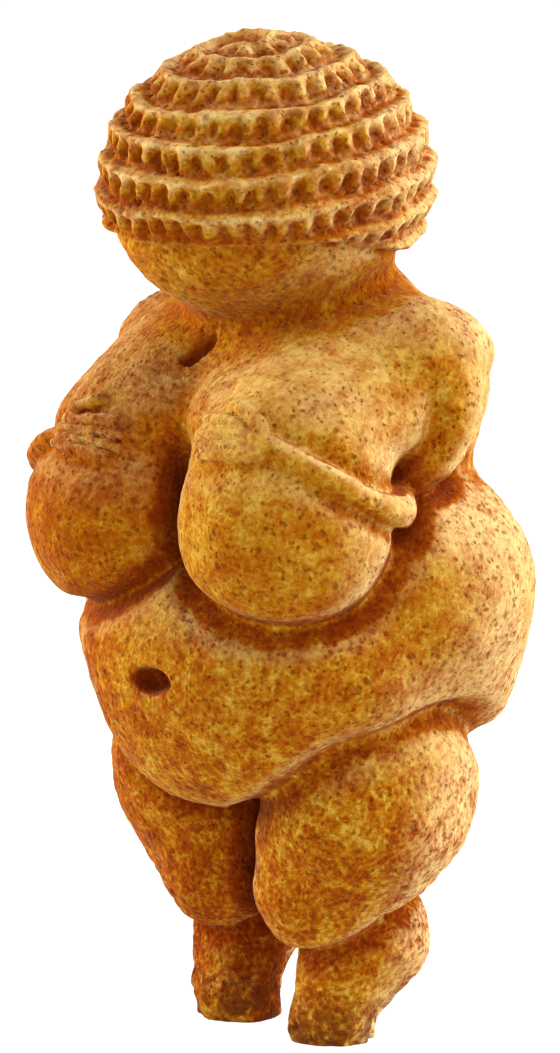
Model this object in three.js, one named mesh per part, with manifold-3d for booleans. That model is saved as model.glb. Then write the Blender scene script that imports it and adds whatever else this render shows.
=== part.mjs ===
// A stout standing woman, carved from one piece of stone: a small ice-age figurine.
// She has a bowed head without a face in a cap of knotted coils, thin arms laid on the
// breasts, a full belly, broad hips, thighs pressed together and short legs without feet.
// Millimetres, +Z up. The figure faces -Y, with her left side at +X, and stands on z = 0.

import * as THREE from 'three';
import { mergeVertices } from 'three/addons/utils/BufferGeometryUtils.js';
import { triTable } from 'three/addons/objects/MarchingCubes.js';
import Module from 'manifold-3d';

// Driving sizes, in millimetres
const HEIGHT = 110; // from the undersides of the legs to the top of the cap
const COIL_WIDTH = 3.7; // one turn of the cap's coil, from groove to groove
const KNOT_LENGTH = 2.2; // one knot along the coil
const COIL_RELIEF = 1.7; // how far the coil stands out over its grooves
const NAVEL_WIDTH = 6;
const NAVEL_HEIGHT = 2.9;
const FINGER_WIDTH = 1.5;

// Fineness of the faceted surface
const SAMPLE = 0.7; // spacing of the points at which the form is sampled, in millimetres
const TRIANGLES = 9700; // facets left on the figure
const BLOCK = 5; // samples along one side of a block that is looked at or skipped whole
const DETAIL_WEIGHT = 2.5; // how much an error on the cap or a hand counts against another
const EVENNESS = 4e-3; // how much a long edge counts against an error
const LEAST_FACING = 0.4; // cosine between a facet and the surface that it stands for
const LEAST_SLIMNESS = 0.12; // height of a facet, as a share of its longest side

// Every form below is in hundredths of the figure's height, in a frame of its own whose
// z = 0 is the cut under the legs. A pitch, yaw or roll turns a form about x, z or y, in degrees.
const PART = HEIGHT / 100;

const { abs, atan2, cos, exp, floor, hypot, max, min, PI, sin, sqrt } = Math;
const radians = THREE.MathUtils.degToRad;
const lerp = THREE.MathUtils.lerp;
const smooth = THREE.MathUtils.smoothstep;

// Forms: functions that give a point's distance to a surface, below zero inside it

// The rows of the matrix that takes a point into a turned frame with its origin at a point.
function turned([x, y, z], { pitch = 0, yaw = 0, roll = 0 }) {
  const angles = new THREE.Euler(radians(pitch), radians(roll), radians(yaw), 'YZX');
  const matrix = new THREE.Matrix4().makeRotationFromEuler(angles).setPosition(x, y, z);
  const m = matrix.invert().elements;
  return [0, 1, 2].map((row) => [m[row], m[row + 4], m[row + 8], m[row + 12]]);
}

function ball(at, [a, b, c], turns = {}) {
  const [u, v, w] = turned(at, turns);
  return (x, y, z) => {
    const i = (u[0] * x + u[1] * y + u[2] * z + u[3]) / a;
    const j = (v[0] * x + v[1] * y + v[2] * z + v[3]) / b;
    const k = (w[0] * x + w[1] * y + w[2] * z + w[3]) / c;
    const near = sqrt(i * i + j * j + k * k);
    const slope = sqrt((i / a) ** 2 + (j / b) ** 2 + (k / c) ** 2);
    return (near * (near - 1)) / max(slope, 1e-9);
  };
}

// A round bar that tapers from one radius to another.
function limb(start, end, startRadius, endRadius) {
  const run = end.map((value, i) => value - start[i]);
  const [rx, ry, rz] = run.map((value) => value / (run[0] ** 2 + run[1] ** 2 + run[2] ** 2));
  return (x, y, z) => {
    const [dx, dy, dz] = [x - start[0], y - start[1], z - start[2]];
    const t = min(max(dx * rx + dy * ry + dz * rz, 0), 1);
    const [ex, ey, ez] = [dx - t * run[0], dy - t * run[1], dz - t * run[2]];
    return sqrt(ex * ex + ey * ey + ez * ez) - lerp(startRadius, endRadius, t);
  };
}

// The lesser of two distances, rounded over where they are nearly the same.
function merge(a, b, softness) {
  const h = max(softness - abs(a - b), 0);
  return min(a, b) - (h * h) / (4 * softness);
}

// A groove where two surfaces meet, which fades out inside the stone.
function crease(a, b, depth, width) {
  return depth * smooth(1 - abs(a - b) / width, 0, 1) * smooth(min(a, b), -4, -1);
}

function blend(softness, ...forms) {
  return (x, y, z) => forms.reduce((out, form) => merge(out, form(x, y, z), softness), 1e3);
}

// Forms that meet in a crease.
function fold(softness, depth, width, first, ...others) {
  return (x, y, z) => {
    let out = first(x, y, z);
    for (const form of others) {
      const other = form(x, y, z);
      out = merge(out, other, softness) + crease(out, other, depth, width);
    }
    return out;
  };
}

function carve(softness, form, tool) {
  return (x, y, z) => -merge(-form(x, y, z), tool(x, y, z), softness);
}

// Skips the work on a form at points further than a gap from the ball that holds it.
function within(centre, radius, gap, form) {
  return (x, y, z) => {
    const away = hypot(x - centre[0], y - centre[1], z - centre[2]) - radius;
    return away > gap ? away : form(x, y, z);
  };
}

const pair = (form) => [form(-1), form(1)];

function chain(softness, points, radii) {
  const links = points.slice(1).map((end, i) => limb(points[i], end, radii[i], radii[i + 1]));
  return blend(softness, ...links);
}

// How a form grows along each axis from a point where its value is known.
function slope(form, [x, y, z], value, reach) {
  const ahead = [form(x + reach, y, z), form(x, y + reach, z), form(x, y, z + reach)];
  return ahead.map((other) => (other - value) / reach);
}

// A slow unevenness from -1 to 1, as hand work has.
function wobble(a, b, c) {
  const first = sin(1.7 * a + 1.3 * sin(1.1 * b));
  const second = sin(2.3 * b + 1.1 * sin(1.9 * c));
  const third = sin(1.3 * c + 1.7 * sin(0.9 * a));
  return (first + second + third) / 3;
}

// Head: an egg, bowed forward, under one long knotted coil that winds down from the crown

const HEAD_SIZE = [15.2, 15.6, 13.2];
const HEAD_TURNS = { pitch: 14, roll: 2.5 };
const HEAD_PITCH = radians(HEAD_TURNS.pitch);
const CROWN = 99.98; // height of the top of the cap
const HEAD_RISE = hypot(HEAD_SIZE[1] * sin(HEAD_PITCH), HEAD_SIZE[2] * cos(HEAD_PITCH));
const HEAD_AT = [0.4, -3.8, CROWN - COIL_RELIEF / PART - HEAD_RISE];
const CAP_EDGE_FRONT = 98; // degrees from the crown to the cap's lower edge
const CAP_EDGE_BACK = 128;
const KNOT_PIT = 0.5; // depth of the pits between knots, as a share of the coil's relief

const skull = ball(HEAD_AT, HEAD_SIZE, HEAD_TURNS);
const headAxes = turned(HEAD_AT, HEAD_TURNS);
const head = within(HEAD_AT, 18, 8, cappedHead);

function cappedHead(x, y, z) {
  const [i, j, k] = headAxes.map((u, n) => (u[0] * x + u[1] * y + u[2] * z + u[3]) / HEAD_SIZE[n]);
  const flat = hypot(i, j);
  const polar = atan2(flat, k);
  const around = atan2(i, -j) / (2 * PI);
  const radius = (HEAD_SIZE[0] + HEAD_SIZE[1] + 2 * HEAD_SIZE[2]) / 4;
  const width = COIL_WIDTH / PART / radius;
  const knot = KNOT_LENGTH / PART / radius;
  const turns = polar / width - around + 0.12 * wobble(5 * i, 5 * j, 5 * k);
  const turn = floor(turns);
  const across = turns - turn;
  const middle = (turn + 0.5 + around) * width;
  const knots = (2 * PI * (1 - cos(middle))) / (width * knot) + 0.2 * wobble(6 * i + 3, 6 * k, 6 * j);
  const rib = sqrt(0.5 + 0.5 * cos(2 * PI * (knots + 0.35 * (across - 0.5))));
  const lip = exp(-(((across - 0.3) / 0.17) ** 2));
  const pit = KNOT_PIT * (1 - rib) * exp(-(((across - 0.64) / 0.27) ** 4));
  const rope = 0.74 * sin(PI * across) ** 0.6 + 0.26 * lip - pit;
  const facing = smooth(-j / max(flat, 1e-6), -0.75, 0.9);
  const edge = radians(lerp(CAP_EDGE_BACK, CAP_EDGE_FRONT, facing));
  const covered = smooth(edge - polar, -0.02, 0.07);
  const lift = (COIL_RELIEF / PART) * rope * smooth(polar, 0, 0.12);
  const rim = 0.35 * exp(-(((edge - polar + 0.03) / 0.035) ** 2));
  return skull(x, y, z) - covered * (0.1 + lift) + rim;
}

// Trunk: chest, shoulders and neck, then belly and hips under a shallow fold, then buttocks

const chest = blend(
  6,
  ball([0, 4.2, 58], [16.4, 11.3, 19], { pitch: 4 }),
  limb([-11.5, 3, 66.4], [11.5, 3, 66.4], 7.2, 7.2),
  limb([0, 3.4, 66], [0, -1.2, 79], 10, 8.6),
  ball([0, -7.5, 55], [6.5, 5.4, 9]),
  ...pair((side) => ball([side * 8.6, -6, 62.3], [8.8, 8, 8.4], { roll: side * -20 })),
  ...pair((side) => ball([side * 14.6, 1.8, 65.4], [5.6, 6, 6.6])),
);
const belly = blend(
  6,
  ball([0.8, -4.4, 40.5], [20.5, 16, 13], { pitch: 8 }),
  ball([0.2, -8.2, 32.5], [12, 9.4, 8.4]),
);
const hips = pair((side) => ball([side * 13, 2.4, 46], [12.3, 13.4, 12.6], { roll: side * -12 }));
const buttocks = pair((side) => ball([side * 9, 8.8, 39.3], [11.2, 10.4, 12.2]));
const spine = ball([0.3, 18.8, 60], [1.6, 4.5, 12]);
const trunk = carve(3, blend(4, fold(5.5, 0.6, 4, chest, belly, ...hips), ...buttocks), spine);

// Legs: thighs that press together and overhang the calves, which taper to stubs

function leg(side) {
  const thigh = blend(
    4,
    ball([side * 9.4, 0.8, 29], [10.6, 12.4, 14.5], { roll: side * -12 }),
    limb([side * 8.6, -0.4, 24], [side * 6.6, -2.6, 15.8], 9.3, 6.7),
  );
  const shin = [[7, 2, 16], [7.4, 1.6, 9.5], [6.5, -0.6, 2], [6.4, -1.1, -2]];
  const calf = blend(
    3,
    chain(0.8, shin.map(([x, y, z]) => [side * x, y, z]), [6, 5.6, 4.5, 3.9]),
    ball([side * 8.2, 4.6, 9.6], [5, 4.6, 5]),
  );
  return fold(1.2, 0.8, 2.4, thigh, calf);
}

const groin = limb([0, 2.5, 34], [0, 0, 14.5], 6, 3);
const legs = blend(1, fold(1.2, 0.8, 2.4, ...pair(leg)), groin);
const lower = fold(1.8, 1.3, 3.2, trunk, legs);

// Breasts: they run smoothly out of the chest above and lie over the belly in a deep crease

function breast(side) {
  return blend(
    4,
    ball([side * 10.4, -11.4, 54.2 + 0.5 * side], [11, 10, 10.6], { pitch: -18, roll: side * -12 }),
    ball([side * 10, -10.6, 50.6], [9.6, 9.6, 7.8]),
  );
}

const breasts = fold(2, 0.8, 2.8, ...pair(breast));

function torso(x, y, z) {
  const [a, b] = [lower(x, y, z), breasts(x, y, z)];
  const softness = 1.6 + 8 * smooth(z, 55, 64);
  return merge(a, b, softness) + crease(a, b, 1.2 * (1 - smooth(z, 56, 64)), 3.2);
}

// Arms: thin bars in relief that follow the flanks down and come up over the breasts

// Angle from the front, height, radius, and lift of the arm's middle over the surface.
const ARM = [
  [96, 68, 4.4, -2.9],
  [93, 63.5, 3.7, -1.7],
  [88, 58.8, 3.1, -1.1],
  [79, 55.2, 2.6, -1],
  [67, 54.8, 2.2, -0.9],
  [55, 57.2, 1.9, -0.7],
  [44, 59.8, 1.7, -0.6],
  [35, 61.5, 1.6, -0.6],
];
const ARM_SPAN_STEPS = 3;
const ARM_TILT = 0.6; // how much higher her left arm lies than the middle of the two
const WRIST = [35, 61.5, 0];
const HAND_TOWARD = [20, 61.2, 0];
const FINGERS = 4;
const FINGER_REACH = 7.6; // from the wrist to the tips of the middle ones
const FINGER_FAN = 0.05; // how far each finger turns away from the next one
const THUMB_REACH = 4.2;
const THUMB_FAN = 0.6;
const FINGER_LIFT = 0.25;
const FINGER_STEPS = 5;

// The point at an angle, height and lift over the torso's surface.
function lay([angle, height, lift]) {
  const [outX, outY] = [sin(radians(angle)), -cos(radians(angle))];
  let [inside, outside] = [0, 40]; // nothing of the torso is further out
  while (outside - inside > 1e-4) {
    const middle = (inside + outside) / 2;
    if (torso(outX * middle, outY * middle, height) < 0) {
      inside = middle;
    } else {
      outside = middle;
    }
  }
  return new THREE.Vector3(outX * (inside + lift), outY * (inside + lift), height);
}

// The point of the torso's surface near a point, and the surface's direction there.
function settle(start) {
  const point = start.clone();
  const out = new THREE.Vector3();
  for (let round = 0; round < 5; round++) {
    const value = torso(...point);
    out.set(...slope(torso, point, value, 0.01));
    point.addScaledVector(out, -value / out.lengthSq());
  }
  return [point, out.normalize()];
}

// Points over the torso's surface, straight on from one of them.
function walk(start, toward, reach) {
  let [point, out] = settle(start);
  const path = [point.clone().addScaledVector(out, FINGER_LIFT)];
  const heading = toward.clone();
  for (let step = 0; step < FINGER_STEPS; step++) {
    heading.addScaledVector(out, -heading.dot(out)).normalize();
    [point, out] = settle(point.clone().addScaledVector(heading, reach / FINGER_STEPS));
    path.push(point.clone().addScaledVector(out, FINGER_LIFT));
  }
  return path.map((place) => place.toArray());
}

const onSide = (side, [angle, height, lift]) => lay([side * angle, height + ARM_TILT * side, lift]);

function arm(side) {
  const points = ARM.map(([angle, height, , lift]) => onSide(side, [angle, height, lift]));
  const spans = ARM.length - 1;
  const path = new THREE.CatmullRomCurve3(points, false, 'catmullrom', 0.5);
  const route = path.getPoints(spans * ARM_SPAN_STEPS).map((point) => point.toArray());
  const radii = route.map((_, i) => {
    const from = min(floor(i / ARM_SPAN_STEPS), spans - 1);
    return lerp(ARM[from][2], ARM[from + 1][2], i / ARM_SPAN_STEPS - from);
  });
  return within([side * 15, -7, 62], 16, 8, chain(0.05, route, radii));
}

// Four fingers and a thumb that fan out from the wrist and lie on the surface.
function hand(side) {
  const [wrist, out] = settle(onSide(side, WRIST));
  const along = onSide(side, HAND_TOWARD).sub(wrist).normalize();
  const up = new THREE.Vector3().crossVectors(along, out).multiplyScalar(side);
  const width = FINGER_WIDTH / PART;

  function bar(height, fan, reach, thick, thin) {
    const from = wrist.clone().addScaledVector(up, height);
    const path = walk(from, along.clone().addScaledVector(up, fan), reach);
    return chain(0.05, path, path.map((_, i) => width * lerp(thick, thin, i / FINGER_STEPS)));
  }

  const fingers = Array.from({ length: FINGERS }, (_, i) => {
    const row = i - (FINGERS - 1) / 2;
    return bar(0.62 * width * row, FINGER_FAN * row, FINGER_REACH - 0.4 * row * row, 0.62, 0.54);
  });
  const form = blend(0.35, ...fingers, bar(width, THUMB_FAN, THUMB_REACH, 0.64, 0.56));
  return within(wrist.toArray(), FINGER_REACH + 1, 6, form);
}

const arms = pair(arm);
const hands = pair(hand);
const navel = ball([0.3, -21.6, 38.2], [NAVEL_WIDTH / PART / 2, 4.2, NAVEL_HEIGHT / PART / 2]);

// The whole figure, in hundredths of its height

function figure(x, y, z) {
  let out = torso(x, y, z);
  for (const form of arms) {
    const other = form(x, y, z);
    const groove = crease(out, other, 0.6 * (1 - smooth(z, 64, 69)), 1.8);
    out = merge(out, other, 0.8 + 4 * smooth(z, 64, 70)) + groove;
  }
  hands.forEach((form) => { out = merge(out, form(x, y, z), 0.6); });
  out = -merge(-out, navel(x, y, z), 0.7);
  out = merge(out, head(x, y, z), 1.8);
  return out + 0.3 * wobble(x / 5, y / 5, z / 5);
}

// Surface: the figure is sampled on a grid, and its zero surface becomes triangles

const CORNERS = [[0, 0, 0], [1, 0, 0], [1, 1, 0], [0, 1, 0], [0, 0, 1], [1, 0, 1], [1, 1, 1], [0, 1, 1]];
// Each edge of a cell: the corner where it starts and the axis that it runs along.
const EDGES = [
  [0, 0], [1, 1], [3, 0], [0, 1],
  [4, 0], [5, 1], [7, 0], [4, 1],
  [0, 2], [1, 2], [2, 2], [3, 2],
];

function polygonise(form, low, high, step) {
  const blocks = low.map((value, i) => Math.ceil((high[i] - value) / (step * BLOCK)));
  const count = blocks.map((value) => value * BLOCK + 1);
  const strides = [1, count[0], count[0] * count[1]];
  const values = new Float64Array(count[0] * count[1] * count[2]).fill(NaN);
  const vertexOnEdge = new Int32Array(values.length * 3).fill(-1);
  const offsets = CORNERS.map((corner) => corner.reduce((sum, value, i) => sum + value * strides[i], 0));
  const points = [];
  const triangles = [];

  function sample(i, j, k) {
    const node = i + j * strides[1] + k * strides[2];
    if (Number.isNaN(values[node])) {
      const value = form(low[0] + i * step, low[1] + j * step, low[2] + k * step);
      values[node] = abs(value) < 1e-6 ? 1e-6 : value;
    }
    return values[node];
  }

  function vertex(cell, i, j, k, edge) {
    const [corner, axis] = EDGES[edge];
    const node = cell + offsets[corner];
    const key = 3 * node + axis;
    if (vertexOnEdge[key] < 0) {
      const share = values[node] / (values[node] - values[node + strides[axis]]);
      const place = [i, j, k].map((value, n) => value + CORNERS[corner][n] + (n === axis ? share : 0));
      vertexOnEdge[key] = points.length;
      points.push(place.map((value, n) => low[n] + value * step));
    }
    return vertexOnEdge[key];
  }

  function fillCell(i, j, k) {
    let filled = 0;
    CORNERS.forEach(([di, dj, dk], corner) => {
      if (sample(i + di, j + dj, k + dk) > 0) filled |= 1 << corner;
    });
    if (filled === 0 || filled === 255) return;
    const cell = i + j * strides[1] + k * strides[2];
    for (let row = filled * 16; triTable[row] >= 0; row += 3) {
      triangles.push([0, 1, 2].map((n) => vertex(cell, i, j, k, triTable[row + n])));
    }
  }

  const half = (BLOCK * step) / 2;
  const far = half * sqrt(3) * 1.2 + 1.5 * PART;
  for (let bk = 0; bk < blocks[2]; bk++) {
    for (let bj = 0; bj < blocks[1]; bj++) {
      for (let bi = 0; bi < blocks[0]; bi++) {
        const centre = [bi, bj, bk].map((value, n) => low[n] + value * BLOCK * step + half);
        if (abs(form(...centre)) > far) continue;
        for (let n = 0; n < BLOCK ** 3; n++) {
          const [i, j, k] = [n % BLOCK, floor(n / BLOCK) % BLOCK, floor(n / BLOCK ** 2)];
          fillCell(bi * BLOCK + i, bj * BLOCK + j, bk * BLOCK + k);
        }
      }
    }
  }
  return { points, triangles };
}

// Points moved to the middle of their neighbours and back onto the surface, for even triangles.
function relax({ points, triangles }, form, rounds) {
  const near = points.map(() => new Set());
  triangles.forEach((triangle) => {
    triangle.forEach((point, i) => near[point].add(triangle[(i + 1) % 3]).add(triangle[(i + 2) % 3]));
  });
  const reach = 0.02 * SAMPLE;
  for (let round = 0; round < rounds; round++) {
    points = points.map((_, point) => {
      const [x, y, z] = [0, 1, 2].map((axis) => {
        let sum = 0;
        near[point].forEach((other) => { sum += points[other][axis]; });
        return sum / near[point].size;
      });
      const value = form(x, y, z);
      const [gx, gy, gz] = slope(form, [x, y, z], value, reach);
      const share = value / max(gx * gx + gy * gy + gz * gz, 0.1);
      return [x - share * gx, y - share * gy, z - share * gz];
    });
  }
  return { points, triangles };
}

// Facets: the edge whose loss changes the shape least is closed up, again and again

// A queue that gives back the item with the least cost first.
class Queue {
  items = [];

  push(item) {
    const { items } = this;
    let at = items.length;
    items.push(item);
    while (at > 0) {
      const parent = (at - 1) >> 1;
      if (items[parent].cost <= item.cost) break;
      items[at] = items[parent];
      at = parent;
    }
    items[at] = item;
  }

  pop() {
    const { items } = this;
    const first = items[0];
    const last = items.pop();
    if (items.length === 0) return first;
    let at = 0;
    for (;;) {
      let child = 2 * at + 1;
      if (child >= items.length) break;
      if (child + 1 < items.length && items[child + 1].cost < items[child].cost) child++;
      if (items[child].cost >= last.cost) break;
      items[at] = items[child];
      at = child;
    }
    items[at] = last;
    return first;
  }
}

const plus = (a, b) => [a[0] + b[0], a[1] + b[1], a[2] + b[2]];
const minus = (a, b) => [a[0] - b[0], a[1] - b[1], a[2] - b[2]];
const dot = (a, b) => a[0] * b[0] + a[1] * b[1] + a[2] * b[2];
const cross = (a, b) => [a[1] * b[2] - a[2] * b[1], a[2] * b[0] - a[0] * b[2], a[0] * b[1] - a[1] * b[0]];
const length = (a) => sqrt(dot(a, a));
const normal = ([a, b, c]) => cross(minus(b, a), minus(c, a));

// A triangle's height over its longest side, as a share of that side.
function slimness([a, b, c]) {
  const longest = max(length(minus(a, b)), length(minus(b, c)), length(minus(c, a)));
  return length(normal([a, b, c])) / longest ** 2;
}

// The sum of squared distances to planes, as the ten numbers of a symmetric 4 x 4 matrix.
function planeError([a, b, c], d, weight) {
  return [a * a, a * b, a * c, a * d, b * b, b * c, b * d, c * c, c * d, d * d].map((v) => v * weight);
}

function errorAt(q, [x, y, z]) {
  const inX = x * (q[0] * x + 2 * (q[1] * y + q[2] * z + q[3]));
  const inY = y * (q[4] * y + 2 * (q[5] * z + q[6]));
  return inX + inY + z * (q[7] * z + 2 * q[8]) + q[9];
}

// The point with the least error, or none where the planes don't settle it.
function leastErrorPoint(q) {
  const [xx, xy, xz, xd, yy, yz, yd, zz, zd] = q;
  const cofactors = [yy * zz - yz * yz, xz * yz - xy * zz, xy * yz - xz * yy];
  const determinant = dot([xx, xy, xz], cofactors);
  if (abs(determinant) < 1e-4 * (xx + yy + zz) ** 3) return null;
  const [c00, c01, c02] = cofactors;
  const c11 = xx * zz - xz * xz;
  const c12 = xy * xz - xx * yz;
  const c22 = xx * yy - xy * xy;
  return [
    -(c00 * xd + c01 * yd + c02 * zd) / determinant,
    -(c01 * xd + c11 * yd + c12 * zd) / determinant,
    -(c02 * xd + c12 * yd + c22 * zd) / determinant,
  ];
}

function simplify({ points, triangles }, target, weightAt) {
  const errors = points.map(() => new Array(10).fill(0));
  const around = points.map(() => new Set()); // triangles at each point
  const stamps = points.map(() => 0); // changes made at each point
  const normals = points.map(() => [0, 0, 0]);
  const queue = new Queue();
  let left = triangles.length;

  const corners = (triangle) => triangles[triangle].map((point) => points[point]);

  function neighbours(point) {
    const found = new Set();
    around[point].forEach((triangle) => triangles[triangle].forEach((other) => found.add(other)));
    found.delete(point);
    return found;
  }

  function enqueue(a, b) {
    const error = errors[a].map((value, i) => value + errors[b][i]);
    const middle = points[a].map((value, i) => (value + points[b][i]) / 2);
    const best = leastErrorPoint(error);
    const choices = best ? [best] : [middle, points[a], points[b]];
    const costs = choices.map((choice) => errorAt(error, choice));
    const cost = min(...costs);
    const place = choices[costs.indexOf(cost)];
    const evenness = EVENNESS * length(minus(points[a], points[b])) ** 2;
    queue.push({ cost: cost + evenness, a, b, place, error, stamp: stamps[a] + stamps[b] });
  }

  // A facet may not turn away from the surface, or become a needle, when one of its points moves.
  function spoils(point, place, without) {
    for (const triangle of around[point]) {
      if (triangles[triangle].includes(without)) continue;
      const before = corners(triangle);
      const after = triangles[triangle].map((other) => (other === point ? place : points[other]));
      const facing = triangles[triangle].reduce((sum, other) => plus(sum, normals[other]), [0, 0, 0]);
      const across = normal(after);
      if (dot(across, facing) < LEAST_FACING * length(across) * length(facing)) return true;
      if (slimness(after) < min(LEAST_SLIMNESS, slimness(before))) return true;
    }
    return false;
  }

  triangles.forEach((triangle, index) => {
    const across = normal(corners(index));
    const area = length(across);
    triangle.forEach((point) => {
      around[point].add(index);
      normals[point] = plus(normals[point], across);
    });
    if (area < 1e-9) return;
    const unit = across.map((value) => value / area);
    const weight = area * weightAt(points[triangle[0]]);
    const error = planeError(unit, -dot(unit, points[triangle[0]]), weight);
    triangle.forEach((point) => error.forEach((value, i) => { errors[point][i] += value; }));
  });
  normals.forEach((sum, point) => { normals[point] = sum.map((value) => value / length(sum)); });
  triangles.forEach(([a, b, c]) => {
    if (a < b) enqueue(a, b);
    if (b < c) enqueue(b, c);
    if (c < a) enqueue(c, a);
  });

  while (left > target && queue.items.length > 0) {
    const { a, b, place, error, stamp } = queue.pop();
    if (around[a].size === 0 || around[b].size === 0 || stamp !== stamps[a] + stamps[b]) continue;
    const shared = [...around[a]].filter((triangle) => around[b].has(triangle));
    const near = neighbours(b);
    const common = [...neighbours(a)].filter((point) => near.has(point));
    if (shared.length !== 2 || common.length !== 2) continue;
    if (spoils(a, place, b) || spoils(b, place, a)) continue;
    shared.forEach((triangle) => {
      triangles[triangle].forEach((point) => around[point].delete(triangle));
      triangles[triangle] = null;
    });
    around[b].forEach((triangle) => {
      triangles[triangle] = triangles[triangle].map((point) => (point === b ? a : point));
      around[a].add(triangle);
    });
    around[b].clear();
    points[a] = place;
    errors[a] = error;
    left -= 2;
    stamps[a]++;
    neighbours(a).forEach((point) => enqueue(a, point));
  }
  return { points, triangles: triangles.filter((triangle) => triangle !== null) };
}

// Solids

const wasm = await Module();
wasm.setup();

function solid(vertProperties, triVerts) {
  return new wasm.Manifold(new wasm.Mesh({ numProp: 3, vertProperties, triVerts }));
}

function solidOfGeometry(source) {
  const bare = source.clone();
  bare.deleteAttribute('normal');
  bare.deleteAttribute('uv');
  const merged = mergeVertices(bare);
  return solid(merged.attributes.position.array, new Uint32Array(merged.index.array));
}

function solidOfTriangles({ points, triangles }) {
  const numbers = new Map();
  const used = [];
  const index = triangles.flat().map((point) => {
    if (!numbers.has(point)) {
      numbers.set(point, used.length);
      used.push(points[point]);
    }
    return numbers.get(point);
  });
  return solid(new Float32Array(used.flat()), new Uint32Array(index));
}

function geometryOfSolid(form) {
  const { vertProperties, triVerts } = form.getMesh();
  const geometry = new THREE.BufferGeometry();
  geometry.setAttribute('position', new THREE.BufferAttribute(new Float32Array(vertProperties), 3));
  geometry.setIndex([...triVerts]);
  return geometry;
}

// The figurine, sawn off flat under the legs so that it stands, over the middle of its outline

const LOW = [-30, -28, -10].map((value) => value * PART);
const HIGH = [30, 26, CROWN + 4].map((value) => value * PART);
const sampled = (x, y, z) => figure(x / PART, y / PART, z / PART) * PART;
const capEnd = HEAD_AT[2] * PART - 3 * COIL_WIDTH;

function weightAt(point) {
  const inHand = hands.some((form) => form(...point.map((value) => value / PART)) < 1);
  return inHand || point[2] > capEnd ? DETAIL_WEIGHT : 1;
}

const surface = relax(polygonise(sampled, LOW, HIGH, SAMPLE), sampled, 2);
const rough = solidOfTriangles(simplify(surface, TRIANGLES, weightAt));
const saw = new THREE.BoxGeometry(HEIGHT, HEIGHT, HEIGHT).translate(0, 0, -HEIGHT / 2);
const geometry = geometryOfSolid(rough.subtract(solidOfGeometry(saw)));
geometry.computeBoundingBox();
const middle = geometry.boundingBox.getCenter(new THREE.Vector3());
geometry.translate(-middle.x, -middle.y, 0);
geometry.computeVertexNormals();

const stone = new THREE.MeshStandardMaterial({ color: 0xdda24a, roughness: 0.85, metalness: 0 });
const figurine = new THREE.Mesh(geometry, stone);
figurine.name = 'figurine';

const group = new THREE.Group();
group.add(figurine);

export default group;
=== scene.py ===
import math

import bmesh
import bpy
import numpy as np
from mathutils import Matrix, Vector


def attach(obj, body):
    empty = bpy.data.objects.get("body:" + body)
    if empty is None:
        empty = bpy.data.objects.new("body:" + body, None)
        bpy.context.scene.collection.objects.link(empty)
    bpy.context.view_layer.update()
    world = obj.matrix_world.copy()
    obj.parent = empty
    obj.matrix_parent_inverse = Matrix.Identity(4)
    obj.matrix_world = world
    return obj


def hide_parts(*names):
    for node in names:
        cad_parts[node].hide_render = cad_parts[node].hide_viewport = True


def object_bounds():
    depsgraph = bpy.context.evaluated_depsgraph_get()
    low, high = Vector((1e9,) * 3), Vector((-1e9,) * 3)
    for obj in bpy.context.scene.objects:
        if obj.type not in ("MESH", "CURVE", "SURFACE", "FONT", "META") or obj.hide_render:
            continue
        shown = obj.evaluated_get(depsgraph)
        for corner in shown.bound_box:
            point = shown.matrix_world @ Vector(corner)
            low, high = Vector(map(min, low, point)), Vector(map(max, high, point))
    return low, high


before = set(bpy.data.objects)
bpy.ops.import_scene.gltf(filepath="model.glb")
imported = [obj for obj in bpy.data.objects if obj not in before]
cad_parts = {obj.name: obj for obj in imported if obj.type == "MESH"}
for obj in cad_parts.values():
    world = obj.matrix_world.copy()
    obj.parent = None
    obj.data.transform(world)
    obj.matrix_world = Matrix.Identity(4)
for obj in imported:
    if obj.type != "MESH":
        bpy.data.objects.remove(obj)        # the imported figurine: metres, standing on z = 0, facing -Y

cad_low, cad_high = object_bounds()

# Sizes, in metres
HEIGHT = 0.110  # from the undersides of the legs to the top of the cap
COIL_WIDTH = 0.0037
KNOT_LENGTH = 0.0022
COIL_RELIEF = 0.0017
NAVEL_WIDTH = 0.006
NAVEL_HEIGHT = 0.0029
FINGER_WIDTH = 0.0015
CELL = 0.00038  # spacing of the points at which the form is sampled
MOST_TRIANGLES = 190_000  # the saw cut and the cleaning take a few more away

# Every form below is in hundredths of the figure's height, with z = 0 under the legs
PART = HEIGHT / 100


# Forms: functions that give the distance of points to a surface, below zero inside it


def smooth(value, low, high):
    """A share that runs smoothly from 0 at one value to 1 at the other, which may be the lower."""
    share = np.clip((value - low) / (high - low), 0, 1)
    return share * share * (3 - 2 * share)


def spun(a, b, degrees):
    """Two coordinates in axes turned by an angle."""
    cos, sin = math.cos(math.radians(degrees)), math.sin(math.radians(degrees))
    return a * cos + b * sin, b * cos - a * sin


def turned(points, at, pitch=0, roll=0):
    """Coordinates about a point, in axes turned about y, then about x, in degrees."""
    x, y, z = (points - np.array(at, float)).T
    z, x = spun(z, x, roll)
    y, z = spun(y, z, pitch)
    return x, y, z


def ball(at, size, **turns):
    """An egg with half axes of a size."""
    a, b, c = size

    def distance(points):
        x, y, z = turned(points, at, **turns)
        near = np.sqrt((x / a) ** 2 + (y / b) ** 2 + (z / c) ** 2)
        slope = np.sqrt((x / a**2) ** 2 + (y / b**2) ** 2 + (z / c**2) ** 2)
        return near * (near - 1) / np.maximum(slope, 1e-9)

    return distance


def limb(start, end, start_radius, end_radius):
    """A round bar that tapers from one radius to another."""
    start = np.array(start, float)
    run = np.array(end, float) - start

    def distance(points):
        away = points - start
        share = np.clip(away @ run / (run @ run), 0, 1)
        away -= share[:, None] * run
        radius = start_radius + (end_radius - start_radius) * share
        return np.sqrt((away * away).sum(axis=1)) - radius

    return distance


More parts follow.
